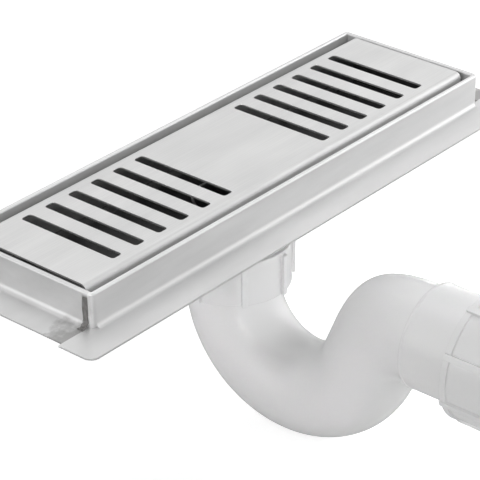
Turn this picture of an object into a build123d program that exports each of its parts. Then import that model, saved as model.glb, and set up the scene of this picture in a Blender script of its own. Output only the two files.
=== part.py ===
from build123d import *
from math import cos, radians, sin
import os

os.makedirs("parts", exist_ok=True)

# Linear shower drain: a stainless channel with a slotted grate, over a plastic trap.
# Millimetres. X runs along the channel, Y across it with the outlet towards -Y, Z is up.
# The origin is the middle of the grate's top, which is level with the rim and the tiled floor.

# Channel, folded from one sheet
SHEET = 1.2  # thickness of the stainless sheet
RIM_LENGTH = 305.0  # over the rim, along X
RIM_WIDTH = 88.0  # over the rim, along Y
HEM_GAP = 0.3  # air left between the two layers of the folded rim
HEM_ROUND = 0.98  # share of a full half-round at the top of the rim
BEND = 2.0  # inside radius of every open bend
WALL_HEIGHT = 18.2  # rim top to flange top
CHANNEL_DEPTH = 28.0  # rim top to channel floor
SIDE_FLANGE = 19.0  # long flange, outwards from the wall
END_FLANGE = 17.2  # welded end flange, outwards from the wall
FLANGE_OVERRUN = 2.6  # how far the long flange passes the end flange
FLANGE_CORNER = 5.0  # corner radius of the long flange

# Grate, folded down along both long edges
GRATE_SIDE_GAP = 4.3  # to the channel's inner wall, each side
GRATE_END_GAP = 2.0  # to the channel's inner wall, each end
GRATE_BEND = 2.3  # inside radius of the fold
SLOT_LENGTH = 60.0
SLOT_WIDTH = 6.4
SLOT_CORNER = 1.7
SLOT_PITCH = 16.0
SLOTS_PER_GROUP = 6
GROUP_SPACING = 77.6  # between the middles of the two facing slots
FOOT_LENGTH = 18.0  # each foot the grate stands on
FEET_PER_SIDE = 4
FOOT_HEIGHT = 6.0  # water passes under the skirt between the feet

# Spigot tube welded into the channel floor
SPIGOT_WALL = 1.2

# Trap bend, and the outlet collar welded over its end
TUBE_RADIUS = 25.0
TUBE_WALL = 3.8
BEND_HEIGHT = -75.5  # level of the middle of the U-bend
U_RADIUS = 46.5  # U-bend, along the middle of the tube
RISE_ANGLE = 68.0  # slope of the rising leg above level
RISER_LENGTH = 26.0
ELBOW_RADIUS = 12.0  # tight elbow, along the middle of the tube
NECK_LENGTH = 16.0  # level tube between the elbow and the collar
COLLAR_LENGTH = 28.0  # plain part of the collar
COLLAR_LAP = 8.0  # collar over the end of the bend, which is also the pipe's stop
COLLAR_WALL = 2.2
OUTLET_PIPE_RADIUS = 25.0  # 50 mm waste pipe

# Compression joints, the same stack at both ends of the trap
PIPE_CLEARANCE = 0.3  # socket to pipe, radial
SEAL_CLEARANCE = 0.1  # loose seal to pipe, radial
THREAD_CLEARANCE = 0.2  # nut to socket, radial
SEAL_HEIGHT = 7.0
SEAL_CONE = 2.0  # chamfer in the socket's mouth that the seal sits in
SLIP_RING = 1.5  # thickness of the slip ring
NUT_LIP = 3.0  # inward lip of the nut
NUT_EDGE = 0.8  # rounding of the nut's lipped end
INLET_STEM = 13.5  # socket above the U-bend
INLET_WALL = 3.2  # wall of the inlet socket
INLET_THREAD = 2.0  # thread height over the tube
INLET_SKIRT = 13.3  # nut below the socket's mouth
INLET_NUT_WALL = 3.7
INLET_RIBS = 8
INLET_RIB_TURN = 5.7  # direction of the first rib about Z
OUTLET_THREAD = 2.2  # thread height over the collar
OUTLET_SKIRT = 20.0
OUTLET_NUT_WALL = 2.2  # at the sunk panels
OUTLET_RIBS = 8
OUTLET_RIB_TURN = 20.0
RIB_HEIGHT = 2.0
RIB_WIDTH = 3.2
BAND_HEIGHT = 0.8  # bands round both ends of the outlet nut
BAND_WIDTH = 3.6  # at the open end
LIP_BAND_WIDTH = 8.5  # at the lipped end

# Sizes that follow from the ones above
RIM_BAND = 2 * SHEET + HEM_GAP
INNER_LENGTH = RIM_LENGTH - 2 * RIM_BAND
INNER_WIDTH = RIM_WIDTH - 2 * RIM_BAND
MID_BEND = BEND + SHEET / 2
MID_HEM = HEM_ROUND * (SHEET + HEM_GAP) / 2
RIM_Z = -SHEET / 2
FLANGE_Z = -WALL_HEIGHT - SHEET / 2
FLOOR_Z = -CHANNEL_DEPTH - SHEET / 2
STACK = SEAL_HEIGHT + SLIP_RING + NUT_LIP
SPIGOT_RADIUS = TUBE_RADIUS - INLET_WALL - PIPE_CLEARANCE
COLLAR_RADIUS = OUTLET_PIPE_RADIUS + PIPE_CLEARANCE + COLLAR_WALL
INLET_MOUTH = Plane(origin=(0, 0, BEND_HEIGHT + INLET_STEM), x_dir=(1, 0, 0), z_dir=(0, 0, 1))


def folded(points, radii):
    """A strip of sheet bent along a line, seen end on."""
    return trace(FilletPolyline(*points, radius=radii), line_width=SHEET)


def turned(points):
    """A ring turned about Z from (radius, height) points."""
    section = Plane.XZ * make_face(Polyline(*points, close=True))
    return revolve(section, axis=Axis.Z)


def bar(size_x, size_y, z_low, z_high, x=0.0, y=0.0):
    """An upright block between two levels."""
    return Pos(x, y, (z_low + z_high) / 2) * Box(size_x, size_y, z_high - z_low)


def rod(radius, z_low, z_high):
    """A round bar on Z between two levels."""
    return Pos(0, 0, z_low) * extrude(Circle(radius), z_high - z_low)


# Channel
wall_y = RIM_WIDTH / 2 - SHEET / 2
lining_y = wall_y - SHEET - HEM_GAP
edge_y = RIM_WIDTH / 2 + SIDE_FLANGE
half_section = [
    (edge_y, FLANGE_Z),
    (wall_y, FLANGE_Z),
    (wall_y, RIM_Z),
    (lining_y, RIM_Z),
    (lining_y, FLOOR_Z),
]
section = half_section + [(-y, z) for y, z in reversed(half_section)]
half_bends = [MID_BEND, MID_HEM, MID_HEM, MID_BEND]
profile = folded(section, half_bends + half_bends[::-1])
channel = extrude(Plane.YZ * profile, RIM_LENGTH / 2, both=True)
# Past the walls each long flange runs on, and inwards as far as the end piece
strip_length = RIM_LENGTH + 2 * (END_FLANGE + FLANGE_OVERRUN)
strip_width = SIDE_FLANGE + RIM_BAND
strip_y = (INNER_WIDTH + strip_width) / 2
strip = Rectangle(strip_length, strip_width)
strip = fillet(strip.vertices().group_by(Axis.Y)[-1], FLANGE_CORNER)
strip = Pos(0, strip_y, FLANGE_Z - SHEET / 2) * extrude(strip, SHEET)
wall_gap = bar(RIM_LENGTH, strip_width, FLANGE_Z - SHEET, 0, y=strip_y)
overrun = strip - wall_gap
channel = channel + overrun + mirror(overrun, about=Plane.XZ)
channel = channel - rod(SPIGOT_RADIUS, FLOOR_Z - SHEET, 0)

# Welded ends
wall_x = RIM_LENGTH / 2 - SHEET / 2
lining_x = wall_x - SHEET - HEM_GAP
end_section = [
    (RIM_LENGTH / 2 + END_FLANGE, FLANGE_Z),
    (wall_x, FLANGE_Z),
    (wall_x, RIM_Z),
    (lining_x, RIM_Z),
    (lining_x, -CHANNEL_DEPTH),
]
end_profile = Plane.XZ * folded(end_section, [MID_BEND, MID_HEM, MID_HEM])
end_right = extrude(end_profile, INNER_WIDTH / 2, both=True) - channel
end_left = mirror(end_right, about=Plane.YZ)

# Grate
grate_length = INNER_LENGTH - 2 * GRATE_END_GAP
grate_width = INNER_WIDTH - 2 * GRATE_SIDE_GAP
skirt_y = grate_width / 2 - SHEET / 2
grate_section = [
    (skirt_y, -CHANNEL_DEPTH),
    (skirt_y, RIM_Z),
    (-skirt_y, RIM_Z),
    (-skirt_y, -CHANNEL_DEPTH),
]
grate_profile = Plane.YZ * folded(grate_section, GRATE_BEND + SHEET / 2)
grate = extrude(grate_profile, grate_length / 2, both=True)
slot = extrude(RectangleRounded(SLOT_WIDTH, SLOT_LENGTH, SLOT_CORNER), -2 * SHEET)
slot_x = [GROUP_SPACING / 2 + i * SLOT_PITCH for i in range(SLOTS_PER_GROUP)]
for x in slot_x:
    grate = grate - Pos(x, 0, 0) * slot - Pos(-x, 0, 0) * slot
arch_length = (grate_length - FEET_PER_SIDE * FOOT_LENGTH) / (FEET_PER_SIDE - 1)
arch_pitch = arch_length + FOOT_LENGTH
for i in range(FEET_PER_SIDE - 1):
    arch_x = (i - (FEET_PER_SIDE - 2) / 2) * arch_pitch
    grate = grate - bar(
        arch_length, grate_width, -CHANNEL_DEPTH, FOOT_HEIGHT - CHANNEL_DEPTH, x=arch_x
    )

# Spigot
spigot_low = BEND_HEIGHT + PIPE_CLEARANCE
spigot = rod(SPIGOT_RADIUS, spigot_low, -CHANNEL_DEPTH)
spigot = spigot - rod(SPIGOT_RADIUS - SPIGOT_WALL, spigot_low, -CHANNEL_DEPTH)

# Trap. The line of the tube lies in the YZ plane, written as (distance towards -Y, height).
rise = radians(RISE_ANGLE)
u_turn = 90 + RISE_ANGLE
riser_out = U_RADIUS * (1 + sin(rise))
riser_low = BEND_HEIGHT - U_RADIUS * cos(rise)
elbow_out = riser_out + RISER_LENGTH * cos(rise) + ELBOW_RADIUS * sin(rise)
elbow_z = riser_low + RISER_LENGTH * sin(rise) - ELBOW_RADIUS * cos(rise)
outlet_z = elbow_z + ELBOW_RADIUS
collar_out = elbow_out + NECK_LENGTH
mouth_out = collar_out + COLLAR_LENGTH + OUTLET_SKIRT
OUTLET_MOUTH = Plane(origin=(0, -mouth_out, outlet_z), x_dir=(1, 0, 0), z_dir=(0, -1, 0))
inlet_end = Plane(origin=(0, 0, BEND_HEIGHT), x_dir=(1, 0, 0), z_dir=(0, 0, -1))
riser_end = Plane(
    origin=(0, -riser_out, riser_low), x_dir=(1, 0, 0), z_dir=(0, -cos(rise), sin(rise))
)
elbow_end = Plane(origin=(0, -elbow_out, outlet_z), x_dir=(1, 0, 0), z_dir=(0, -1, 0))
u_axis = Axis((0, -U_RADIUS, BEND_HEIGHT), (-1, 0, 0))
elbow_axis = Axis((0, -elbow_out, elbow_z), (1, 0, 0))


def tube(radius):
    """The whole run of the tube as a solid bar, from the U-bend into the collar."""
    u_bend = revolve(inlet_end * Circle(radius), axis=u_axis, revolution_arc=u_turn)
    riser = extrude(riser_end * Circle(radius), RISER_LENGTH)
    outer_part = Circle(radius) & Pos(0, radius / 2 - ELBOW_RADIUS / 2) * Rectangle(
        2 * radius, radius + ELBOW_RADIUS
    )
    elbow_start = riser_end.offset(RISER_LENGTH)
    elbow = revolve(elbow_start * outer_part, axis=elbow_axis, revolution_arc=RISE_ANGLE)
    neck = extrude(elbow_end * Circle(radius), NECK_LENGTH + COLLAR_LAP)
    return u_bend + riser + elbow + neck


bore = TUBE_RADIUS - TUBE_WALL
inlet_socket = SPIGOT_RADIUS + PIPE_CLEARANCE
inlet_thread = TUBE_RADIUS + INLET_THREAD
outlet_socket = OUTLET_PIPE_RADIUS + PIPE_CLEARANCE
outlet_thread = COLLAR_RADIUS + OUTLET_THREAD
collar_length = COLLAR_LENGTH + OUTLET_SKIRT
socket_length = collar_length - COLLAR_LAP


def threaded(radius, length, thread, skirt):
    """The outside of a socket, thickened where the nut screws on."""
    return rod(radius, -length, 0) + rod(thread, NUT_LIP - skirt, 0)


def mouth(radius, depth):
    """The space inside a socket, with the coned mouth that the seal sits in."""
    cone = turned([(0, -SEAL_CONE), (radius, -SEAL_CONE), (radius + SEAL_CONE, 0), (0, 0)])
    return rod(radius, -depth, 0) + cone


trap_body = tube(TUBE_RADIUS) + INLET_MOUTH * threaded(TUBE_RADIUS, INLET_STEM, inlet_thread, INLET_SKIRT)
trap_body = trap_body - tube(bore) - INLET_MOUTH * mouth(inlet_socket, INLET_STEM)

# Outlet collar
outlet_collar = threaded(COLLAR_RADIUS, collar_length, outlet_thread, OUTLET_SKIRT)
outlet_collar = outlet_collar - rod(TUBE_RADIUS, -collar_length, -socket_length)
outlet_collar = OUTLET_MOUTH * (outlet_collar - mouth(outlet_socket, socket_length))


def seal(pipe, socket, thread):
    """Cone seal standing in the socket's mouth."""
    inner = pipe + SEAL_CLEARANCE
    return turned(
        [
            (inner, -SEAL_CONE),
            (socket, -SEAL_CONE),
            (socket + SEAL_CONE, 0),
            (thread, 0),
            (thread, SEAL_HEIGHT),
            (inner, SEAL_HEIGHT),
        ]
    )


def slip_ring(socket, thread):
    """Flat ring that lets the nut turn on the seal."""
    return rod(thread, SEAL_HEIGHT, SEAL_HEIGHT + SLIP_RING) - rod(socket, SEAL_HEIGHT, STACK)


def nut(socket, thread, wall, skirt, ribs, turn, band):
    """Compression nut: lipped at the pipe's end, ribbed for the hand, with bands of a given height."""
    bore_radius = thread + THREAD_CLEARANCE
    face = bore_radius + wall
    body = rod(face, -skirt, STACK)
    if band > 0:
        body = body + rod(face + band, -skirt, BAND_WIDTH - skirt)
        body = body + rod(face + band, STACK - LIP_BAND_WIDTH, STACK)
    body = fillet(body.faces().sort_by(Axis.Z)[-1].edges(), NUT_EDGE)
    rib_top = STACK - 2 * NUT_EDGE
    rib = bar(wall + RIB_HEIGHT, RIB_WIDTH, -skirt, rib_top, x=bore_radius + (wall + RIB_HEIGHT) / 2)
    for i in range(ribs):
        body = body + Rot(0, 0, turn + i * 360 / ribs) * rib
    body = body - rod(bore_radius, -skirt, STACK - NUT_LIP)
    return body - rod(socket, 0, STACK)


inlet_seal = INLET_MOUTH * seal(SPIGOT_RADIUS, inlet_socket, inlet_thread)
inlet_slip_ring = INLET_MOUTH * slip_ring(inlet_socket, inlet_thread)
inlet_nut = INLET_MOUTH * nut(
    inlet_socket,
    inlet_thread,
    INLET_NUT_WALL,
    INLET_SKIRT,
    INLET_RIBS,
    INLET_RIB_TURN,
    0,
)
outlet_seal = OUTLET_MOUTH * seal(OUTLET_PIPE_RADIUS, outlet_socket, outlet_thread)
outlet_slip_ring = OUTLET_MOUTH * slip_ring(outlet_socket, outlet_thread)
outlet_nut = OUTLET_MOUTH * nut(
    outlet_socket,
    outlet_thread,
    OUTLET_NUT_WALL,
    OUTLET_SKIRT,
    OUTLET_RIBS,
    OUTLET_RIB_TURN,
    BAND_HEIGHT,
)

export_step(grate, "parts/grate.step")
export_step(channel, "parts/channel.step")
export_step(end_left, "parts/end_left.step")
export_step(end_right, "parts/end_right.step")
export_step(spigot, "parts/spigot.step")
export_step(inlet_nut, "parts/inlet_nut.step")
export_step(inlet_slip_ring, "parts/inlet_slip_ring.step")
export_step(inlet_seal, "parts/inlet_seal.step")
export_step(trap_body, "parts/trap_body.step")
export_step(outlet_collar, "parts/outlet_collar.step")
export_step(outlet_nut, "parts/outlet_nut.step")
export_step(outlet_slip_ring, "parts/outlet_slip_ring.step")
export_step(outlet_seal, "parts/outlet_seal.step")
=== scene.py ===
# %% [markdown]
# # A linear shower drain
# A slotted stainless grate lies in a folded stainless channel, and a white plastic trap hangs
# below it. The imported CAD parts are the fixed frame: they give every size and place. The pieces
# that show are modelled again here with finer folds, edges, welds and finishes.

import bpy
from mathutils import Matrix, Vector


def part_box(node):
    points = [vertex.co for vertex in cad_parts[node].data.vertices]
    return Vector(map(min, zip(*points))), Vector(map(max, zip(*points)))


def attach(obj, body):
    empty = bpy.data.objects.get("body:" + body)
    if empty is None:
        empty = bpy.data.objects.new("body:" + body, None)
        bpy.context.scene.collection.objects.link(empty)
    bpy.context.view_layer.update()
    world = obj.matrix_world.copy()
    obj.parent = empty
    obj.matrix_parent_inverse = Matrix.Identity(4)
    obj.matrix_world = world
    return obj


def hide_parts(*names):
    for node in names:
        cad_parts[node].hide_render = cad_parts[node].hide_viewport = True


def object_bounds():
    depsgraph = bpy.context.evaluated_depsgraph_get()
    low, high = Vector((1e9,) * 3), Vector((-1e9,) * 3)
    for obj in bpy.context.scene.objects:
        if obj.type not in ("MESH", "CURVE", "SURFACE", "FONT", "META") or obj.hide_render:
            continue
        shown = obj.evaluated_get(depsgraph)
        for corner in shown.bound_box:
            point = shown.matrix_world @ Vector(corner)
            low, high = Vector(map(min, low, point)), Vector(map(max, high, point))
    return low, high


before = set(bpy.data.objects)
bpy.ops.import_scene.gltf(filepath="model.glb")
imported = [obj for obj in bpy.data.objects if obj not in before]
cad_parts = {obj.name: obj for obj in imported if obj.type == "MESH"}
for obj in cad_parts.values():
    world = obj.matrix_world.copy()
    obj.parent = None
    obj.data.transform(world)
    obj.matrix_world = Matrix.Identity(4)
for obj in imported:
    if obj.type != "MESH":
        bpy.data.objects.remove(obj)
cad_box = [[float(value) for value in corner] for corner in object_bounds()]
print("CAD box", cad_box)

# %% Blender and a unit
from math import atan2, cos, degrees, radians, sin, tan

import bmesh
import bpy
from mathutils import Matrix, Quaternion, Vector

MM = 0.001  # the frame is in metres, and the sizes below are in millimetres

# %% [markdown]
# ## The camera
# The photograph looks down on the drain from its left front corner through a long lens. A long
# lens far away keeps the long edges of the channel nearly parallel, so the lens is given by its
# focal length in pixels and the place by an angle, a distance and a small shift of the aim.

# %% Camera
IMAGE_PX = 480
FOCAL_PX = 2265.9
SENSOR = 36.0
TURN = radians(-50.06)
TILT = radians(29.35)
DISTANCE = 1148.6 * MM
AIM_RIGHT = 3.56 * MM
AIM_UP = -46.57 * MM

toward = Vector((sin(TURN) * cos(TILT), -cos(TURN) * cos(TILT), sin(TILT)))
right = Vector((cos(TURN), sin(TURN), 0))
up = toward.cross(right)
eye = toward * DISTANCE + right * AIM_RIGHT + up * AIM_UP
bpy.ops.object.select_all(action="DESELECT")
bpy.ops.object.camera_add(location=eye, rotation=Matrix((right, up, toward)).transposed().to_euler())
camera = bpy.context.object
camera.data.sensor_width = SENSOR
camera.data.lens = FOCAL_PX * SENSOR / IMAGE_PX
bpy.context.scene.camera = camera
print("camera", [round(value, 3) for value in eye], "lens", round(camera.data.lens, 1))

# %% [markdown]
# ## Studio
# The picture has a plain white surround. The floor just touches the lowest point of the bend.
# To the camera it is white with a faint shadow, and to the object it is a plain pale card that
# the lamps light. Wide lamps overhead and at both sides give the general light, and near ones on
# the right pick out the folds. Small lamps with a grid over them each light one place, such as
# the leg of the trap. The low one is kept out of reflections, where it would be a hard glint. The
# room that the metal mirrors is brighter behind the drain than before it.

# %% Floor
FLOOR_WIDTH = 8.0
FLOOR_PALE = 0.9
FLOOR_GLOW = 0.6  # added for the camera alone

bpy.ops.mesh.primitive_plane_add(size=FLOOR_WIDTH, location=(0, 0, cad_box[0][2]))
floor = bpy.context.object
floor.name = "floor"
paper = bpy.data.materials.new("floor_paper")
paper.use_nodes = True
nodes, links = paper.node_tree.nodes, paper.node_tree.links
nodes.clear()
card = nodes.new("ShaderNodeBsdfDiffuse")
card.inputs["Color"].default_value = (FLOOR_PALE, FLOOR_PALE, FLOOR_PALE, 1)
glow = nodes.new("ShaderNodeEmission")
glow.inputs["Strength"].default_value = FLOOR_GLOW
both = nodes.new("ShaderNodeAddShader")
links.new(card.outputs[0], both.inputs[0])
links.new(glow.outputs[0], both.inputs[1])
path = nodes.new("ShaderNodeLightPath")
seen = nodes.new("ShaderNodeMixShader")
links.new(path.outputs["Is Camera Ray"], seen.inputs[0])
links.new(card.outputs[0], seen.inputs[1])
links.new(both.outputs[0], seen.inputs[2])
links.new(seen.outputs[0], nodes.new("ShaderNodeOutputMaterial").inputs["Surface"])
floor.data.materials.append(paper)
print("floor at", round(cad_box[0][2], 4))

# %% World
FILL_LOW = 0.6  # light from all round on plain surfaces
FILL_TOP = 0.27  # and from above
FILL_RANGE = (0.1, 0.8)  # it changes over this much of the height
ROOM_FRONT = 0.75  # what the metal mirrors on the camera's side
ROOM_BACK = 0.84  # the backdrop that it mirrors on the far side
ROOM_RANGE = (0.1, 0.55)  # it changes over this much of the depth
WHITE = 1.0

world = bpy.data.worlds.new("studio")
bpy.context.scene.world = world
world.use_nodes = True
nodes, links = world.node_tree.nodes, world.node_tree.links
nodes.clear()
path = nodes.new("ShaderNodeLightPath")
ways = nodes.new("ShaderNodeTexCoord")
parts = nodes.new("ShaderNodeSeparateXYZ")
links.new(ways.outputs["Generated"], parts.inputs["Vector"])


def backdrop(strength):
    """An even white surround of some strength."""
    surround = nodes.new("ShaderNodeBackground")
    surround.inputs["Color"].default_value = (1, 1, 1, 1)
    surround.inputs["Strength"].default_value = strength
    return surround


def graded(along, between, first, second):
    """A white surround whose strength changes between two places along an axis."""
    surround = backdrop(first)
    change = nodes.new("ShaderNodeMapRange")
    change.inputs["From Min"].default_value = between[0]
    change.inputs["From Max"].default_value = between[1]
    change.inputs["To Min"].default_value = first
    change.inputs["To Max"].default_value = second
    links.new(parts.outputs[along], change.inputs["Value"])
    links.new(change.outputs["Result"], surround.inputs["Strength"])
    return surround


def choose(factor, first, second):
    """The first surround, or the second where the factor is 1."""
    mix = nodes.new("ShaderNodeMixShader")
    links.new(factor, mix.inputs[0])
    links.new(first.outputs[0], mix.inputs[1])
    links.new(second.outputs[0], mix.inputs[2])
    return mix


room = graded("Y", ROOM_RANGE, ROOM_FRONT, ROOM_BACK)
fill = graded("Z", FILL_RANGE, FILL_LOW, FILL_TOP)
mirrored = choose(path.outputs["Is Glossy Ray"], fill, room)
through = choose(path.outputs["Is Transmission Ray"], mirrored, backdrop(WHITE))
seen = choose(path.outputs["Is Camera Ray"], through, backdrop(WHITE))
links.new(seen.outputs[0], nodes.new("ShaderNodeOutputWorld").inputs["Surface"])
print("world nodes", len(nodes))

# %% Lamps
MIDDLE = (0, -0.06, -0.06)  # of the drain
LEG = (0.005, 0.01, -0.05)  # of the trap, under the channel
LEG_SIDE = (0.02, -0.02, -0.1)
INNER_BEND = (0.01, -0.065, -0.1)
ELBOW_TOP = (0.03, -0.15, -0.05)


def softbox(name, place, aim, width, power, beam=180, mirrored=True):
    """A square lamp that faces an aim, with a beam of some degrees, mirrored by the metal or not."""
    facing = Vector(aim) - Vector(place)
    turned = facing.to_track_quat("-Z", "Y").to_euler()
    bpy.ops.object.light_add(type="AREA", location=place, rotation=turned)
    lamp = bpy.context.object
    lamp.name = name
    lamp.data.size = width
    lamp.data.energy = power
    lamp.data.spread = radians(beam)
    lamp.visible_glossy = mirrored


softbox("overhead", place=(0.2, 0.4, 1.4), aim=MIDDLE, width=1.0, power=3.6)
softbox("back", place=(1.2, 0.5, 0.6), aim=MIDDLE, width=0.5, power=0.4)
softbox("front", place=(-0.75, -0.65, 0.02), aim=LEG, width=0.16, power=0.02, beam=8)
softbox("key", place=(0.46, -0.22, 0.26), aim=MIDDLE, width=0.24, power=0.14)
softbox("right", place=(1.1, -0.5, 0.2), aim=MIDDLE, width=0.8, power=2.8)
softbox("top", place=(0.2, -0.2, 0.6), aim=ELBOW_TOP, width=0.1, power=0.02, beam=18)
softbox("low", place=(0.6, -0.8, -0.03), aim=INNER_BEND, width=0.2, power=0.026, beam=9, mirrored=False)
softbox("under", place=(0.3, -0.04, -0.08), aim=LEG_SIDE, width=0.2, power=0.1)
softbox("left", place=(-1.3, 0.3, 0.1), aim=MIDDLE, width=1.2, power=5.5)
bpy.context.scene.view_settings.view_transform = "Standard"

# %% [markdown]
# ## Hand tools
# The pieces are shaped as by hand: a primitive is added at its size, then its edges are picked by
# place and pulled, folded or resized. These few helpers only save typing. Picking asks where the
# corners of an edge or face lie, so the code reads like pointing at them.

# %% Tools for a new piece
SAME = 0.01 * MM  # places closer than this are the same place
MERGE = SAME / 4
PICK_MODES = {"verts": "VERT", "edges": "EDGE", "faces": "FACE"}
X_AXIS, Y_AXIS, Z_AXIS = (1, 0, 0), (0, 1, 0), (0, 0, 1)
BEND_STEPS = 8


def begin(name):
    """Name the new primitive, put its place into its mesh and open it for editing."""
    piece = bpy.context.object
    piece.name = name
    piece.data.name = name
    bpy.ops.object.transform_apply(location=True, rotation=True, scale=True)
    bpy.ops.object.mode_set(mode="EDIT")
    bpy.ops.mesh.select_mode(type="VERT")
    return piece


def new_sheet(name, low, high, z):
    """A flat rectangle of sheet between two (x, y) corners, open for editing."""
    bpy.ops.object.select_all(action="DESELECT")
    middle = ((low[0] + high[0]) / 2, (low[1] + high[1]) / 2, z)
    bpy.ops.mesh.primitive_plane_add(size=1, location=middle)
    bpy.context.object.scale = (high[0] - low[0], high[1] - low[1], 1)
    return begin(name)


def pick(piece, kind, test):
    """Select the verts, edges or faces all of whose corners pass a test."""
    bpy.ops.mesh.select_mode(type=PICK_MODES[kind])
    bpy.ops.mesh.select_all(action="DESELECT")
    mesh = bmesh.from_edit_mesh(piece.data)
    for part in getattr(mesh, kind):
        corners = [part] if kind == "verts" else part.verts
        part.select_set(all(test(corner.co) for corner in corners))
    mesh.select_flush_mode()
    bmesh.update_edit_mesh(piece.data)


def pull(x, y, z):
    """Extrude what is picked by a distance."""
    bpy.ops.mesh.extrude_region_move(TRANSFORM_OT_translate={"value": (x, y, z)})


def fold(axis, center, turn, steps):
    """Carry what is picked on round a bend of some degrees, right-handed about the axis."""
    bpy.ops.mesh.spin(steps=steps, angle=-radians(turn), center=center, axis=axis)


def face_outwards():
    """Merge doubled points and turn the faces outwards."""
    bpy.ops.mesh.select_all(action="SELECT")
    bpy.ops.mesh.remove_doubles(threshold=MERGE)
    bpy.ops.mesh.normals_make_consistent(inside=False)


def close_up():
    """Put a shape in order and leave edit mode."""
    face_outwards()
    bpy.ops.object.mode_set(mode="OBJECT")


# %% Tools that finish a piece
SMOOTH_BELOW = 32  # degrees: flatter edges than this are shaded smooth


def shape(piece, kind, **settings):
    """Add a modifier, set it and apply it."""
    modifier = piece.modifiers.new(kind.title(), kind)
    for name, value in settings.items():
        setattr(modifier, name, value)
    bpy.context.view_layer.objects.active = piece
    bpy.ops.object.modifier_apply(modifier=modifier.name)


def cut(piece, cutter):
    """Take a cutter's shape out of a piece, and throw the cutter away."""
    shape(piece, "BOOLEAN", operation="DIFFERENCE", solver="EXACT", object=cutter)
    bpy.data.objects.remove(cutter)


def ease_edges(piece, width, segments=2, sharper_than=40):
    """Round every edge that is sharper than an angle, so that it catches light."""
    limit = radians(sharper_than)
    shape(piece, "BEVEL", width=width, segments=segments, limit_method="ANGLE", angle_limit=limit)


def select_only(piece):
    """Select a piece and nothing else."""
    bpy.ops.object.select_all(action="DESELECT")
    piece.select_set(True)
    bpy.context.view_layer.objects.active = piece


def place_piece(piece, finish, slot, *nodes):
    """Smooth, colour and hand over a finished piece for the CAD nodes that it stands for."""
    select_only(piece)
    bpy.ops.object.shade_smooth_by_angle(angle=radians(SMOOTH_BELOW))
    shape(piece, "WEIGHTED_NORMAL", keep_sharp=True, weight=100)
    piece.data.materials.clear()
    piece.data.materials.append(finish)
    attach(piece, "root")
    if nodes:
        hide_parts(*nodes)
    size = [round(value / MM, 1) for value in piece.dimensions]
    print(piece.name, "faces", len(piece.data.polygons), "size in mm", size)


# %% [markdown]
# ## Steel finishes
# All the metal is stainless sheet. The grate is brushed lengthwise, so its noise is stretched far
# along X and very fine across. The channel is plainer mill sheet with cloudy smears, and welding
# has left grey soot along the seams of its ends. In the photograph the folds of the grate look paler
# than its flat, the flanges look darker than the walls, and the inside looks dark. That is light and
# shade. Lamps alone did not give it, so here it is painted into the colour: the paler folds are
# painted light, and the darker flanges, ends and inside are painted shade. Most of it changes with the
# height.

# %% Finish helpers
def grey(value):
    """A colour without a hue."""
    return (value, value, value)


def new_finish(name):
    """A fresh material, its tree and its main shader."""
    finish = bpy.data.materials.new(name)
    finish.use_nodes = True
    return finish, finish.node_tree, finish.node_tree.nodes["Principled BSDF"]


def coordinates(tree):
    """The object's own X, Y and Z at each point of its surface."""
    place = tree.nodes.new("ShaderNodeTexCoord")
    parts = tree.nodes.new("ShaderNodeSeparateXYZ")
    tree.links.new(place.outputs["Object"], parts.inputs["Vector"])
    return parts.outputs


def stretched_noise(tree, grains, detail=4.0, roughness=0.55):
    """Noise on the object's own coordinates, with some grains a metre along X, Y and Z."""
    place = tree.nodes.new("ShaderNodeTexCoord")
    mapping = tree.nodes.new("ShaderNodeMapping")
    mapping.inputs["Scale"].default_value = grains
    noise = tree.nodes.new("ShaderNodeTexNoise")
    noise.inputs["Scale"].default_value = 1.0
    noise.inputs["Detail"].default_value = detail
    noise.inputs["Roughness"].default_value = roughness
    tree.links.new(place.outputs["Object"], mapping.inputs["Vector"])
    tree.links.new(mapping.outputs["Vector"], noise.inputs["Vector"])
    return noise.outputs["Fac"]


def spread(tree, value, low, high, source=(0.3, 0.7)):
    """Map a value from one range to another."""
    node = tree.nodes.new("ShaderNodeMapRange")
    node.inputs["From Min"].default_value = source[0]
    node.inputs["From Max"].default_value = source[1]
    node.inputs["To Min"].default_value = low
    node.inputs["To Max"].default_value = high
    tree.links.new(value, node.inputs["Value"])
    return node.outputs["Result"]


def combine(tree, operation, first, second):
    """One step of arithmetic on two sockets, or on a socket and a number."""
    node = tree.nodes.new("ShaderNodeMath")
    node.operation = operation
    for socket, value in zip(node.inputs, (first, second)):
        if isinstance(value, (int, float)):
            socket.default_value = value
        else:
            tree.links.new(value, socket)
    return node.outputs["Value"]


def tint(tree, amount, first, second):
    """A colour between two, by an amount from 0 to 1."""
    node = tree.nodes.new("ShaderNodeMix")
    node.data_type = "RGBA"
    node.inputs["A"].default_value = (*first, 1)
    node.inputs["B"].default_value = (*second, 1)
    tree.links.new(amount, node.inputs["Factor"])
    return node.outputs["Result"]


def overlay(tree, shader, amount, tone, colour, way="MIX"):
    """Colour the shader by a tone, with another colour laid over it by an amount."""
    node = tree.nodes.new("ShaderNodeMix")
    node.data_type = "RGBA"
    node.blend_type = way
    node.inputs["B"].default_value = (*colour, 1)
    tree.links.new(amount, node.inputs["Factor"])
    tree.links.new(tone, node.inputs["A"])
    tree.links.new(node.outputs["Result"], shader.inputs["Base Color"])


def add_bump(tree, shader, height, distance):
    """Let a value raise and lower the surface a little."""
    node = tree.nodes.new("ShaderNodeBump")
    node.inputs["Distance"].default_value = distance
    tree.links.new(height, node.inputs["Height"])
    tree.links.new(node.outputs["Normal"], shader.inputs["Normal"])


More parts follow.
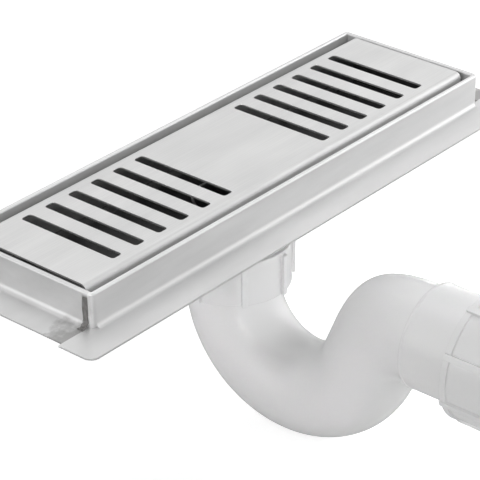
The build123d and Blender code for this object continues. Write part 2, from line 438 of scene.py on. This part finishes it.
# %% Brushed steel of the grate
BRUSHING = (9, 1500, 400)
BRUSH_DEPTH = 0.003 * MM
CLOUDS = (14, 45, 45)
BRUSHED_DARK = grey(0.64)
BRUSHED_LIGHT = (0.79, 0.79, 0.785)
# The folds and the top of the skirt are painted paler than the flat: painted light that the folds catch.
PAINTED_FOLD_LIGHT = grey(0.95)
BENT_DULLER = 0.2
BENT_RANGE = (-2.4 * MM, -1.2 * MM)  # the bend starts at the upper and is full at the lower
SKIRT_RANGE = (-10.0 * MM, -5.0 * MM)  # the skirt below it is plain again

brushed_steel, tree, shader = new_finish("brushed_steel")
shader.inputs["Metallic"].default_value = 1.0
streaks = stretched_noise(tree, BRUSHING, detail=3.0)
clouds = stretched_noise(tree, CLOUDS, detail=2.0)
half_streaks = spread(tree, streaks, low=0.0, high=0.5)
half_clouds = spread(tree, clouds, low=0.0, high=0.5)
brushed = tint(tree, combine(tree, "ADD", half_streaks, half_clouds), BRUSHED_DARK, BRUSHED_LIGHT)
height = coordinates(tree)["Z"]
below_top = spread(tree, height, low=1.0, high=0.0, source=BENT_RANGE)
above_skirt = spread(tree, height, low=0.0, high=1.0, source=SKIRT_RANGE)
bent = combine(tree, "MULTIPLY", below_top, above_skirt)
# paint the folds paler, as painted light
overlay(tree, shader, bent, brushed, PAINTED_FOLD_LIGHT)
flat_dull = spread(tree, streaks, low=0.42, high=0.54)
bent_dull = combine(tree, "MULTIPLY", bent, BENT_DULLER)
tree.links.new(combine(tree, "ADD", flat_dull, bent_dull), shader.inputs["Roughness"])
add_bump(tree, shader, streaks, BRUSH_DEPTH)
print("finish", brushed_steel.name)

# %% Mill steel of the channel
SMEARS = (18, 60, 120)
DULL_DRIFT = 0.05
# The flange is painted darker than the wall of the same sheet: painted shade.
FLANGE_PAINTED_SHADE = grey(0.88)
FOOT_RANGE = (-18.0 * MM, -15.5 * MM)  # the wall is above it, and the flange below


def mill_steel(name, dark, light, dull):
    """Plain stainless sheet with smears: the material, its tree, its shader and its tone."""
    finish, tree, shader = new_finish(name)
    shader.inputs["Metallic"].default_value = 1.0
    smears = stretched_noise(tree, SMEARS, detail=3.0)
    tone = tint(tree, spread(tree, smears, low=0, high=1), dark, light)
    tree.links.new(tone, shader.inputs["Base Color"])
    dull_range = {"low": dull - DULL_DRIFT, "high": dull + DULL_DRIFT}
    tree.links.new(spread(tree, smears, **dull_range), shader.inputs["Roughness"])
    print("finish", finish.name)
    return finish, tree, shader, tone


channel_steel, tree, shader, tone = mill_steel("channel_steel", dark=grey(0.76), light=grey(0.84), dull=0.5)
# darken the flange below the foot of the wall, as painted shade
on_flange = spread(tree, coordinates(tree)["Z"], low=1.0, high=0.0, source=FOOT_RANGE)
overlay(tree, shader, on_flange, tone, FLANGE_PAINTED_SHADE, way="MULTIPLY")

# %% Painted shade inside the channel
SHADE_RANGE = (-14.0 * MM, -4.0 * MM)  # painted shade at the lower, the plain steel tone at the upper
UNSHADED_TONE = grey(0.72)

# The inside is painted dark as painted shade, and it lightens to a plain steel tone towards the rim.
painted_shade_steel, tree, shader, tone = mill_steel("painted_shade_steel", dark=grey(0.12), light=grey(0.18), dull=0.6)
shade_fade = spread(tree, coordinates(tree)["Z"], low=0.0, high=1.0, source=SHADE_RANGE)
overlay(tree, shader, shade_fade, tone, UNSHADED_TONE)
tree.links.new(spread(tree, shade_fade, low=0.5, high=0.6, source=(0, 1)), shader.inputs["Metallic"])
print("dark below", round(SHADE_RANGE[0] / MM, 1))

# %% Sooty steel of the ends, with painted shade
SOOT = (0.17, 0.165, 0.16)
SEAM_RANGE = (38.6 * MM, 39.6 * MM)  # the welded seam gets dark over this much
SEAM_SOOT = 0.85
SEAM_GRAIN = (400, 400, 160)
SEAM_RAGGED = 1.0 * MM
RIM_RANGE = (-3.5 * MM, -1.5 * MM)  # and stays clean above this
PATCH_RANGE = (28.0 * MM, 38.0 * MM)  # grey smoke on the flange
PATCH_SOOT = 0.55
SMOKE_GRAIN = (130, 150, 220)
SMOKE_RAGGED = 7.0 * MM

# The ends get a darker tone than the channel's own steel: painted shade on the end walls. The soot along
# the seams is real weld soot.
end_steel_soot_and_painted_shade, tree, shader, tone = mill_steel("end_steel_soot_and_painted_shade", dark=grey(0.65), light=grey(0.73), dull=0.5)
at = coordinates(tree)
aside = combine(tree, "ABSOLUTE", at["Y"], 0)
ragged = spread(tree, stretched_noise(tree, SEAM_GRAIN), low=-SEAM_RAGGED, high=SEAM_RAGGED)
smoke = spread(tree, stretched_noise(tree, SMOKE_GRAIN), low=-SMOKE_RAGGED, high=SMOKE_RAGGED)
seam = spread(tree, combine(tree, "ADD", aside, ragged), low=0.0, high=SEAM_SOOT, source=SEAM_RANGE)
patch = spread(tree, combine(tree, "ADD", aside, smoke), low=0.0, high=PATCH_SOOT, source=PATCH_RANGE)
below_rim = spread(tree, at["Z"], low=1.0, high=0.0, source=RIM_RANGE)
on_flange = spread(tree, at["Z"], low=1.0, high=0.0, source=FOOT_RANGE)
on_wall = combine(tree, "SUBTRACT", below_rim, on_flange)
seam_soot = combine(tree, "MULTIPLY", seam, on_wall)
flange_soot = combine(tree, "MULTIPLY", patch, on_flange)
overlay(tree, shader, combine(tree, "MAXIMUM", seam_soot, flange_soot), tone, SOOT)
print("soot from", round(SEAM_RANGE[0] / MM, 1), "mm out")

# %% [markdown]
# ## The channel
# The real channel is one sheet bent in a press: flange, wall, folded rim, inner wall, floor, and
# the same again backwards. It could be a block with hollows cut out, but then no bend would have
# its radius. So a strip is drawn at the middle of the sheet and folded along, and the sheet gets
# its thickness last.

# %% Channel sizes
SHEET = 1.2 * MM
BEND = 2.6 * MM  # at the middle of the sheet
FOOT_BEND = 3.4 * MM  # softer where the wall meets the flange
HEM = 0.75 * MM  # folded rim, at the middle of the sheet
RIM_BAND = 2.7 * MM
RIM_SPREAD = 1.0 * MM  # the photograph shows the long walls a little further apart
FLANGE_DEPTH = 18.2 * MM  # rim top down to the flange
CORNER_GAP = 0.05 * MM
EDGE_EASE = 0.2 * MM
channel_low, channel_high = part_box("channel")
end_low, end_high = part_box("end_right")
rim_x = end_low.x + RIM_BAND
lining_x = rim_x - RIM_BAND
lining_y = end_high.y + RIM_SPREAD
rim_y = lining_y + RIM_BAND
flange_y = channel_high.y
flange_z = channel_high.z - FLANGE_DEPTH - SHEET / 2
floor_z = channel_low.z + SHEET / 2
bend_z = flange_z + FOOT_BEND
fold_y = rim_y - SHEET / 2 + FOOT_BEND
hem_y = rim_y - RIM_BAND / 2
hem_z = channel_high.z - SHEET / 2 - HEM
floor_y = hem_y - HEM - BEND
wall_end = lining_x + CORNER_GAP  # the rounded corners of the rim carry on from here
print("rim in mm", round(2 * rim_x / MM, 1), "by", round(2 * rim_y / MM, 1))

# %% Fold the channel
FLOOR_RUN = 2.3 * MM  # the floor and the inner walls run on beneath the ends

channel = new_sheet("channel_sheet", (-wall_end, -flange_y), (wall_end, -fold_y), flange_z)
pick(channel, "edges", lambda at: abs(at.y + fold_y) < SAME)
fold(X_AXIS, (0, -fold_y, bend_z), 90, BEND_STEPS)
pull(0, 0, hem_z - bend_z)
fold(X_AXIS, (0, -hem_y, hem_z), -180, BEND_STEPS)
pull(0, 0, floor_z + BEND - hem_z)
fold(X_AXIS, (0, -floor_y, floor_z + BEND), 90, BEND_STEPS)
pull(0, 2 * floor_y, 0)
fold(X_AXIS, (0, floor_y, floor_z + BEND), 90, BEND_STEPS)
pull(0, 0, hem_z - floor_z - BEND)
fold(X_AXIS, (0, hem_y, hem_z), -180, BEND_STEPS)
pull(0, 0, bend_z - hem_z)
fold(X_AXIS, (0, fold_y, bend_z), 90, BEND_STEPS)
pull(0, flange_y - fold_y, 0)
for end in (-1, 1):
    pick(
        channel,
        "edges",
        lambda at: abs(at.x - end * wall_end) < SAME and abs(at.y) < hem_y and at.z < hem_z + SAME,
    )
    pull(end * FLOOR_RUN, 0, 0)
print("folded strips", len(bmesh.from_edit_mesh(channel.data).faces))

# %% [markdown]
# The two long flanges run on past the ends, with rounded corners, and reach in to the seam of the
# end piece. Their end edges are pulled out in two steps, so that the inner corner can move in first.

# %% Run the flanges on
FLANGE_CORNER = 5.0 * MM
FIRST_STEP = 0.05 * MM

for end in (-1, 1):
    for side in (-1, 1):
        start_x = end * wall_end
        first_x = start_x + end * FIRST_STEP
        pick(
            channel,
            "edges",
            lambda at: abs(at.x - start_x) < SAME
            and side * at.y > fold_y - SAME
            and abs(at.z - flange_z) < SAME,
        )
        pull(end * FIRST_STEP, 0, 0)
        pick(channel, "verts", lambda at: abs(at.x - first_x) < SAME and abs(side * at.y - fold_y) < SAME)
        bpy.ops.transform.translate(value=(0, side * (lining_y - fold_y), 0))
        pick(channel, "edges", lambda at: abs(at.x - first_x) < SAME and side * at.y > lining_y - SAME)
        pull(end * (channel_high.x - wall_end - FIRST_STEP), 0, 0)
pick(channel, "verts", lambda at: abs(at.x) > channel_high.x - SAME and abs(at.y) > flange_y - SAME)
bpy.ops.mesh.bevel(offset=FLANGE_CORNER, segments=BEND_STEPS, affect="VERTICES")
close_up()
shape(channel, "SOLIDIFY", thickness=SHEET, offset=0, use_even_offset=True)
print("flanges reach in mm", round(channel_high.x / MM, 1))

# %% Cut the waste hole and hand over the channel
HOLE_SIDES = 96
HOLE_CUT = 8.0 * MM

spigot_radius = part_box("spigot")[1].x
bpy.ops.object.select_all(action="DESELECT")
bpy.ops.mesh.primitive_cylinder_add(
    vertices=HOLE_SIDES, radius=spigot_radius, depth=HOLE_CUT, location=(0, 0, floor_z)
)
cut(channel, bpy.context.object)
ease_edges(channel, EDGE_EASE)
place_piece(channel, channel_steel, "channel_steel", "channel")


# %% Paint shade on the inside
def paint_shade_inside(piece, test):
    """Give the faces all of whose corners pass a test the steel with painted shade."""
    piece.data.materials.append(painted_shade_steel)
    bpy.ops.object.mode_set(mode="EDIT")
    pick(piece, "faces", test)
    piece.active_material_index = 1
    bpy.ops.object.material_slot_assign()
    bpy.ops.object.mode_set(mode="OBJECT")
    count = sum(face.material_index == 1 for face in piece.data.polygons)
    print(piece.name, "inside faces", count)


inside_z = floor_z + SHEET / 2 - SAME
paint_shade_inside(channel, lambda at: abs(at.y) < lining_y + SAME and at.z > inside_z and abs(at.x) < rim_x)

# %% [markdown]
# ## The ends
# Each end is a smaller folded sheet with the same rim and a flange of its own, welded in between
# the long walls. One is folded and the other is its mirror image, so the normals of the copy have
# to be turned right way out again.

# %% Fold one end
flange_x = end_high.x
fold_x = rim_x - SHEET / 2 + FOOT_BEND
hem_x = rim_x - RIM_BAND / 2

end_right = new_sheet("end_sheet_right", (fold_x, -lining_y), (flange_x, lining_y), flange_z)
pick(end_right, "edges", lambda at: abs(at.x - fold_x) < SAME)
fold(Y_AXIS, (fold_x, 0, bend_z), 90, BEND_STEPS)
pull(0, 0, hem_z - bend_z)
fold(Y_AXIS, (hem_x, 0, hem_z), -180, BEND_STEPS)
pull(0, 0, end_low.z - hem_z)
close_up()
shape(end_right, "SOLIDIFY", thickness=SHEET, offset=0, use_even_offset=True)
ease_edges(end_right, EDGE_EASE)
print("one end, faces", len(end_right.data.polygons))


# %% Mirror it for the other end
def mirrored_copy(piece, name, x, y):
    """A copy with a mesh of its own, turned over along X or Y by a factor of -1."""
    select_only(piece)
    bpy.ops.object.duplicate()
    copy = bpy.context.object
    copy.name = name
    copy.data.name = name
    bpy.ops.object.mode_set(mode="EDIT")
    bpy.ops.mesh.select_all(action="SELECT")
    bpy.ops.transform.resize(value=(x, y, 1), center_override=(0, 0, 0))
    close_up()
    return copy


end_left = mirrored_copy(end_right, "end_sheet_left", -1, 1)
place_piece(end_right, end_steel_soot_and_painted_shade, "channel_steel", "end_right")
paint_shade_inside(end_right, lambda at: at.x < lining_x + SAME)
place_piece(end_left, end_steel_soot_and_painted_shade, "channel_steel", "end_left")
paint_shade_inside(end_left, lambda at: at.x > -lining_x - SAME)

# %% [markdown]
# ## Corners and welds
# Where an end meets a long wall the seam is welded. The corner of the rim is ground round, and a
# dull bead is left down the seam. The corner is the outline of the rim, drawn by one point and
# turned about the inner corner. A bead is a strip bent like the end itself, with its points
# shaken a little. Both are made once and copied to the other corners.

# %% Turn the corner of the rim
CORNER_SKIN = 0.6 * MM

bpy.ops.object.select_all(action="DESELECT")
corner_low = flange_z + SHEET / 2
bpy.ops.mesh.primitive_plane_add(size=MM, location=(wall_end, -rim_y, corner_low))
corner = begin("rim_corner_1")
bpy.ops.mesh.select_all(action="SELECT")
bpy.ops.mesh.merge(type="CENTER")
pull(0, 0, hem_z - corner_low)
fold(X_AXIS, (wall_end, -hem_y, hem_z), -180, BEND_STEPS)
bpy.ops.mesh.select_all(action="SELECT")
fold(Z_AXIS, (wall_end, -lining_y, 0), 90, BEND_STEPS)
close_up()
shape(corner, "SOLIDIFY", thickness=CORNER_SKIN, offset=-1)
print("corner in mm", [round(value / MM, 2) for value in corner.dimensions])

# %% Lay the weld bead
BEAD_IN = 39.0 * MM
BEAD_OUT = 42.5 * MM
BEAD_REACH = 1.5 * MM  # out along the flange
BEAD_TOP = -2.4 * MM
BEAD_PROUD = 0.7 * MM  # its middle, over the middle of the sheet
BEAD_THICK = 0.4 * MM
BEAD_STEPS = 4
BEAD_CUTS = 3
BEAD_SHAKE = 0.28 * MM

bead_z = flange_z + BEAD_PROUD
bead = new_sheet("weld_bead_1", (fold_x, -BEAD_OUT), (fold_x + BEAD_REACH, -BEAD_IN), bead_z)
pick(bead, "edges", lambda at: abs(at.x - fold_x) < SAME)
fold(Y_AXIS, (fold_x, 0, bend_z), 90, BEAD_STEPS)
pull(0, 0, BEAD_TOP - bend_z)
bpy.ops.mesh.select_all(action="SELECT")
bpy.ops.mesh.subdivide(number_cuts=BEAD_CUTS)
bpy.ops.transform.vertex_random(offset=BEAD_SHAKE, uniform=1.0, normal=0.0, seed=5)
close_up()
shape(bead, "SOLIDIFY", thickness=BEAD_THICK, offset=0)
shape(bead, "SUBSURF", levels=2, render_levels=2)
print("one bead, faces", len(bead.data.polygons))

# %% Dull scale on the beads, and copies for all four corners
CRUST = (500, 500, 300)
CRUST_DEPTH = 0.1 * MM
CRUST_DARK = (0.16, 0.155, 0.15)
CRUST_LIGHT = (0.34, 0.335, 0.33)
OTHER_CORNERS = ((-1, 1), (1, -1), (-1, -1))

weld_scale, tree, shader = new_finish("weld_scale")
shader.inputs["Metallic"].default_value = 1.0
crust = stretched_noise(tree, CRUST)
scale = tint(tree, spread(tree, crust, low=0, high=1), CRUST_DARK, CRUST_LIGHT)
tree.links.new(scale, shader.inputs["Base Color"])
tree.links.new(spread(tree, crust, low=0.5, high=0.65), shader.inputs["Roughness"])
add_bump(tree, shader, crust, CRUST_DEPTH)

for first, finish, name in ((corner, channel_steel, "rim_corner_"), (bead, weld_scale, "weld_bead_")):
    copies = [first]
    for x, y in OTHER_CORNERS:
        copies.append(mirrored_copy(first, name + str(len(copies) + 1), x, y))
    for piece in copies:
        place_piece(piece, finish, "channel_steel")

# %% [markdown]
# ## The grate
# The grate is a flat sheet folded down along both long edges. It stands on four feet a side, so
# that water can pass under the skirt. The slots are punched: one rounded cutter is drawn, copied
# along the grate and taken out of the sheet.

# %% Fold the grate
GRATE_BEND = 2.9 * MM  # at the middle of the sheet
FOOT_LENGTH = 18.0 * MM
FOOT_HEIGHT = 6.0 * MM
FEET = 4
grate_low, grate_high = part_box("grate")
top_y = grate_high.y - SHEET / 2 - GRATE_BEND
top_z = grate_high.z - SHEET / 2
skirt_z = top_z - GRATE_BEND
arch_low = grate_low.z + FOOT_HEIGHT

grate = new_sheet("grate_sheet", (grate_low.x, -top_y), (grate_high.x, top_y), top_z)
for side in (-1, 1):
    pick(grate, "edges", lambda at: abs(at.y - side * top_y) < SAME)
    fold(X_AXIS, (0, side * top_y, skirt_z), -90 * side, BEND_STEPS)
    pull(0, 0, arch_low - skirt_z)
print("skirt down to", round(arch_low / MM, 1))

# %% Pull down the feet
foot_pitch = (grate_high.x - grate_low.x - FOOT_LENGTH) / (FEET - 1)
feet = [grate_low.x + number * foot_pitch for number in range(FEET)]
for start in feet:
    for edge_x in (start, start + FOOT_LENGTH):
        pick(grate, "faces", lambda at: at.z < skirt_z + SAME)
        bpy.ops.mesh.bisect(plane_co=(edge_x, 0, 0), plane_no=X_AXIS)
for start in feet:
    pick(
        grate,
        "edges",
        lambda at: at.z < arch_low + SAME and start - SAME < at.x < start + FOOT_LENGTH + SAME,
    )
    pull(0, 0, -FOOT_HEIGHT)
close_up()
shape(grate, "SOLIDIFY", thickness=SHEET, offset=0, use_even_offset=True)
print("grate feet at", [round(start / MM, 1) for start in feet])

# %% Punch the slots
SLOT_LENGTH = 60.0 * MM
SLOT_WIDTH = 6.4 * MM
SLOT_CORNER = 1.7 * MM
SLOT_CORNER_STEPS = 6
SLOT_PITCH = 16.0 * MM
SLOTS_PER_GROUP = 6
GROUP_SPACING = 77.6 * MM
CUT_DEPTH = 4.0 * MM
PUNCHED_EASE = 0.12 * MM

last_x = GROUP_SPACING / 2 + (SLOTS_PER_GROUP - 1) * SLOT_PITCH
punch = new_sheet(
    "slot_punch",
    (-last_x - SLOT_WIDTH / 2, -SLOT_LENGTH / 2),
    (-last_x + SLOT_WIDTH / 2, SLOT_LENGTH / 2),
    top_z - CUT_DEPTH / 2,
)
bpy.ops.mesh.select_all(action="SELECT")
bpy.ops.mesh.bevel(offset=SLOT_CORNER, segments=SLOT_CORNER_STEPS, affect="VERTICES")
bpy.ops.mesh.select_all(action="SELECT")
pull(0, 0, CUT_DEPTH)
bpy.ops.mesh.select_all(action="SELECT")
for number in range(SLOTS_PER_GROUP - 1):
    bpy.ops.mesh.duplicate_move(TRANSFORM_OT_translate={"value": (SLOT_PITCH, 0, 0)})
bpy.ops.mesh.select_all(action="SELECT")
bpy.ops.mesh.duplicate_move(TRANSFORM_OT_translate={"value": (last_x + GROUP_SPACING / 2, 0, 0)})
close_up()
cut(grate, punch)
ease_edges(grate, PUNCHED_EASE)
place_piece(grate, brushed_steel, "grate_steel", "grate")

# %% [markdown]
# ## White plastic
# The trap and its nuts are smooth glossy mouldings. White plastic is never one even white: its
# tone drifts a little over the part and the gloss is slightly uneven, as it comes off the mould.

# %% White plastic
DRIFT = (16, 16, 16)

white_plastic, tree, shader = new_finish("white_plastic")
drift = stretched_noise(tree, DRIFT, detail=1.0)
pale = tint(tree, drift, grey(0.84), grey(0.88))
tree.links.new(pale, shader.inputs["Base Color"])
tree.links.new(spread(tree, drift, low=0.22, high=0.30, source=(0, 1)), shader.inputs["Roughness"])
print("finish", white_plastic.name)

# %% [markdown]
# ## The trap
# The trap is a bent tube: down out of the channel, round a deep U that keeps water in, up again
# and out level. A ring is drawn at the inlet and carried along, turned round each bend. The upper
# elbow is fuller outside than a plain bend, so its back is pulled out with a soft falloff.

# %% Trap sizes
TUBE_SIDES = 96
TUBE_RADIUS = 25.0 * MM
TUBE_WALL = 3.8 * MM
TUBE_EASE = 0.4 * MM
U_RADIUS = 46.5 * MM
U_STEPS = 56
RISE = 68  # degrees that the rising leg makes with the level
RISER = 26.0 * MM
ELBOW = 12.0 * MM  # bend radius that the back of the elbow shows
ELBOW_SOFT = 30.0 * MM  # bend radius with a rounded inner corner
ELBOW_STEPS = 28
MOUTH_OVER_BEND = 13.5 * MM
THREAD_LENGTH = 10.3 * MM
THREAD_RUNOUT = 0.4 * MM
trap_low, trap_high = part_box("trap_body")
nut_low, nut_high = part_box("inlet_nut")
bend_level = trap_low.z + U_RADIUS + TUBE_RADIUS
mouth_z = bend_level + MOUTH_OVER_BEND
thread_radius = trap_high.x
thread_low = mouth_z - THREAD_LENGTH
print("mouth of the trap at", round(mouth_z / MM, 2))

# %% Carry the tube along
rise = radians(RISE)
early = (ELBOW_SOFT - ELBOW) * tan(rise / 2)
climb = Vector((0, -cos(rise), sin(rise)))
inward = Vector((0, -sin(rise), -cos(rise)))
riser_start = Vector((0, -U_RADIUS * (1 + sin(rise)), bend_level - U_RADIUS * cos(rise)))
riser_end = riser_start + climb * (RISER - early)
elbow_center = riser_end + inward * ELBOW_SOFT
outlet_z = elbow_center.z + ELBOW_SOFT
narrower = TUBE_RADIUS / thread_radius

bpy.ops.object.select_all(action="DESELECT")
bpy.ops.mesh.primitive_circle_add(vertices=TUBE_SIDES, radius=thread_radius, location=(0, 0, mouth_z))
trap = begin("trap_tube")
bpy.ops.mesh.select_all(action="SELECT")
pull(0, 0, thread_low - mouth_z)
pull(0, 0, -THREAD_RUNOUT)
bpy.ops.transform.resize(value=(narrower, narrower, 1), center_override=(0, 0, 0))
pull(0, 0, bend_level - thread_low + THREAD_RUNOUT)
fold(X_AXIS, (0, -U_RADIUS, bend_level), -90 - RISE, U_STEPS)
pull(*(riser_end - riser_start))
fold(X_AXIS, elbow_center, RISE, ELBOW_STEPS)
pull(0, trap_low.y - elbow_center.y, 0)
print("outlet level in mm", round(outlet_z / MM, 2))

# %% Fill out the back of the elbow and give the tube its wall
BACK_SPOT = 2.2 * MM
BACK_FALLOFF = 34.0 * MM

back = rise / 2
outward = (-inward) * cos(back) + climb * sin(back)
back_point = elbow_center + outward * (ELBOW_SOFT + TUBE_RADIUS)
fuller = (ELBOW_SOFT - ELBOW) * (1 / cos(back) - 1)
pick(trap, "verts", lambda at: (at - back_point).length < BACK_SPOT)
bpy.ops.transform.translate(
    value=outward * fuller,
    use_proportional_edit=True,
    proportional_edit_falloff="SMOOTH",
    proportional_size=BACK_FALLOFF,
)
close_up()
shape(trap, "SOLIDIFY", thickness=TUBE_WALL, offset=-1)
ease_edges(trap, TUBE_EASE)
place_piece(trap, white_plastic, "white_plastic", "trap_body")

# %% [markdown]
# ## Turned rings
# The collar and the two nuts are round all the way, so they are turned: a ring is pulled along the
# pipe and resized, step by step, until it comes back to where it started. The ribs and bands of
# the nuts are then picked off the outside and pulled out, and the edges eased as a mould leaves them.

# %% A ring turned from a profile
def turn_ring(name, origin, along, profile, sides, turn=0.0):
    """A closed ring about an axis, from (distance along, radius) points that go round its section."""
    bpy.ops.object.select_all(action="DESELECT")
    place, radius = profile[0]
    facing = along.to_track_quat("Z", "Y") @ Quaternion(Z_AXIS, radians(turn))
    bpy.ops.mesh.primitive_circle_add(
        vertices=sides, radius=radius, location=origin + along * place, rotation=facing.to_euler()
    )
    piece = begin(name)
    bpy.ops.mesh.select_all(action="SELECT")
    for next_place, next_radius in profile[1:] + profile[:1]:
        pull(*(along * (next_place - place)))
        ratio = next_radius / radius
        bpy.ops.transform.resize(value=(ratio, ratio, ratio), center_override=origin + along * next_place)
        place, radius = next_place, next_radius
    face_outwards()
    return piece


# %% Outlet collar
COLLAR_RADIUS = 27.5 * MM
COLLAR_EASE = 0.25 * MM
PIPE_SOCKET = 25.3 * MM
LAP = 8.0 * MM  # over the end of the tube
LAP_RADIUS = TUBE_RADIUS + 0.02 * MM
LIP_LOW = 0.4 * MM  # a fine lip round the edge of the moulding
LIP_HIGH = 1.2 * MM
LIP_HEIGHT = 0.35 * MM
THREAD_START = 31.0 * MM
THREAD_FULL = THREAD_START + 0.3 * MM

collar_low, collar_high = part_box("outlet_collar")
collar_length = collar_high.y - collar_low.y
outlet = Vector((0, collar_high.y, outlet_z))
outwards = Vector((0, -1, 0))
collar = turn_ring(
    "outlet_collar_ring",
    outlet,
    outwards,
    [
        (0, COLLAR_RADIUS),
        (LIP_LOW, COLLAR_RADIUS + LIP_HEIGHT),
        (LIP_HIGH, COLLAR_RADIUS + LIP_HEIGHT),
        (LIP_HIGH + LIP_LOW, COLLAR_RADIUS),
        (THREAD_START, COLLAR_RADIUS),
        (THREAD_FULL, collar_high.x),
        (collar_length, collar_high.x),
        (collar_length, PIPE_SOCKET),
        (LAP, PIPE_SOCKET),
        (LAP, LAP_RADIUS),
        (0, LAP_RADIUS),
    ],
    TUBE_SIDES,
)
bpy.ops.object.mode_set(mode="OBJECT")
ease_edges(collar, COLLAR_EASE, segments=3)
place_piece(collar, white_plastic, "white_plastic", "outlet_collar")

# %% [markdown]
# The nuts are gripped by hand, so they have ribs. A rib is two facets wide, and the facets are
# found by their angle about the pipe and pulled out. On the outlet nut the facets between the ribs
# are then pushed in, which leaves eight sunk panels and a band round each end.

# %% A nut with ribs
NUT_SIDES = 128
RIBS = 8
FULL_TURN = 360
ON_FACE = SAME * 5


def turned_nut(name, origin, along, profile, turn, ribs_end, rib_height, panel=None):
    """Turn a nut, pull out its ribs, and push in a panel, given as (low, high, depth), between them."""
    nut = turn_ring(name, origin, along, profile, NUT_SIDES, turn)
    face = max(radius for place, radius in profile)
    across = Vector(X_AXIS)
    other = along.cross(across)

    def pick_outside(low, high, wanted):
        """Pick the outside facets between two places that are on a rib, or that aren't."""
        bpy.ops.mesh.select_mode(type="FACE")
        bpy.ops.mesh.select_all(action="DESELECT")
        mesh = bmesh.from_edit_mesh(nut.data)
        for facet in mesh.faces:
            away = facet.calc_center_median() - origin
            out = Vector((away.dot(across), away.dot(other)))
            angle = (degrees(atan2(out.y, out.x)) - turn) % (FULL_TURN / RIBS)
            near_rib = min(angle, FULL_TURN / RIBS - angle) < FULL_TURN / NUT_SIDES
            in_reach = low < away.dot(along) < high and abs(out.length - face) < ON_FACE
            facet.select_set(in_reach and near_rib == wanted)
        mesh.select_flush_mode()
        bmesh.update_edit_mesh(nut.data)

    pick_outside(0, ribs_end, True)
    bpy.ops.mesh.extrude_region_shrink_fatten(TRANSFORM_OT_shrink_fatten={"value": rib_height})
    if panel:
        low, high, depth = panel
        pick_outside(low, high, False)
        bpy.ops.mesh.extrude_region_shrink_fatten(TRANSFORM_OT_shrink_fatten={"value": -depth})
    bpy.ops.mesh.select_all(action="SELECT")
    bpy.ops.mesh.normals_make_consistent(inside=False)
    bpy.ops.object.mode_set(mode="OBJECT")
    return nut


# %% Inlet nut
NUT_LIP = 3.0 * MM
RIB_SHORT = 1.6 * MM  # the ribs stop short of the lipped end
INLET_FACE = 30.9 * MM
INLET_BORE = 27.2 * MM
INLET_HOLE = 21.8 * MM
INLET_TURN = 5.7
INLET_RIB = 2.0 * MM
INLET_EASE = 0.5 * MM

nut_length = nut_high.z - nut_low.z
inlet_nut = turned_nut(
    "inlet_nut_ring",
    Vector((0, 0, nut_low.z)),
    Vector(Z_AXIS),
    [
        (0, INLET_BORE),
        (0, INLET_FACE),
        (nut_length - RIB_SHORT, INLET_FACE),
        (nut_length, INLET_FACE),
        (nut_length, INLET_HOLE),
        (nut_length - NUT_LIP, INLET_HOLE),
        (nut_length - NUT_LIP, INLET_BORE),
    ],
    INLET_TURN,
    ribs_end=nut_length - RIB_SHORT,
    rib_height=INLET_RIB,
)
ease_edges(inlet_nut, INLET_EASE, segments=3)
place_piece(inlet_nut, white_plastic, "white_plastic", "inlet_nut")

# %% Outlet nut
OUTLET_FACE = 32.9 * MM  # over the bands
OUTLET_BORE = 29.9 * MM
OUTLET_TURN = 20.0
OUTLET_RIB = 1.2 * MM
OUTLET_EASE = 0.3 * MM
BAND_WIDTH = 3.6 * MM
LIP_BAND_WIDTH = 8.5 * MM
PANEL_DEPTH = 0.8 * MM

outlet_nut_low, outlet_nut_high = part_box("outlet_nut")
nut_length = outlet_nut_high.y - outlet_nut_low.y
outlet_nut = turned_nut(
    "outlet_nut_ring",
    Vector((0, outlet_nut_high.y, outlet_z)),
    outwards,
    [
        (0, OUTLET_BORE),
        (0, OUTLET_FACE),
        (BAND_WIDTH, OUTLET_FACE),
        (nut_length - LIP_BAND_WIDTH, OUTLET_FACE),
        (nut_length - RIB_SHORT, OUTLET_FACE),
        (nut_length, OUTLET_FACE),
        (nut_length, PIPE_SOCKET),
        (nut_length - NUT_LIP, PIPE_SOCKET),
        (nut_length - NUT_LIP, OUTLET_BORE),
    ],
    OUTLET_TURN,
    ribs_end=nut_length - RIB_SHORT,
    rib_height=OUTLET_RIB,
    panel=(BAND_WIDTH, nut_length - LIP_BAND_WIDTH, PANEL_DEPTH),
)
ease_edges(outlet_nut, OUTLET_EASE, segments=3)
place_piece(outlet_nut, white_plastic, "white_plastic", "outlet_nut")

# %% [markdown]
# ## Inside pieces
# The spigot, the seals and the slip rings hardly show, and their CAD shapes are right, so they
# stay. They only need finishes of their own: plain tube steel, a waxy plastic and black rubber.

# %% Finishes of the inside pieces
FINE_GRAIN = (300, 300, 300)


def plain_finish(name, dark, light, dull, metal=0.0):
    """A fine, even surface whose tone and dullness vary a little."""
    finish, tree, shader = new_finish(name)
    shader.inputs["Metallic"].default_value = metal
    grain = stretched_noise(tree, FINE_GRAIN, detail=3.0)
    tree.links.new(tint(tree, spread(tree, grain, low=0, high=1), dark, light), shader.inputs["Base Color"])
    dull_range = {"low": dull - DULL_DRIFT, "high": dull + DULL_DRIFT}
    tree.links.new(spread(tree, grain, **dull_range), shader.inputs["Roughness"])
    return finish


tube_steel = plain_finish("tube_steel", dark=grey(0.55), light=grey(0.65), dull=0.35, metal=1.0)
slip_plastic = plain_finish("slip_plastic", dark=(0.70, 0.70, 0.68), light=(0.76, 0.76, 0.74), dull=0.4)
seal_rubber = plain_finish("seal_rubber", dark=(0.030, 0.030, 0.032), light=(0.045, 0.045, 0.047), dull=0.6)
inside = {
    "spigot": tube_steel,
    "inlet_slip_ring": slip_plastic,
    "inlet_seal": seal_rubber,
    "outlet_slip_ring": slip_plastic,
    "outlet_seal": seal_rubber,
}
for node, finish in inside.items():
    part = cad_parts[node]
    part.data.materials.clear()
    part.data.materials.append(finish)
print("inside pieces", sorted(inside))
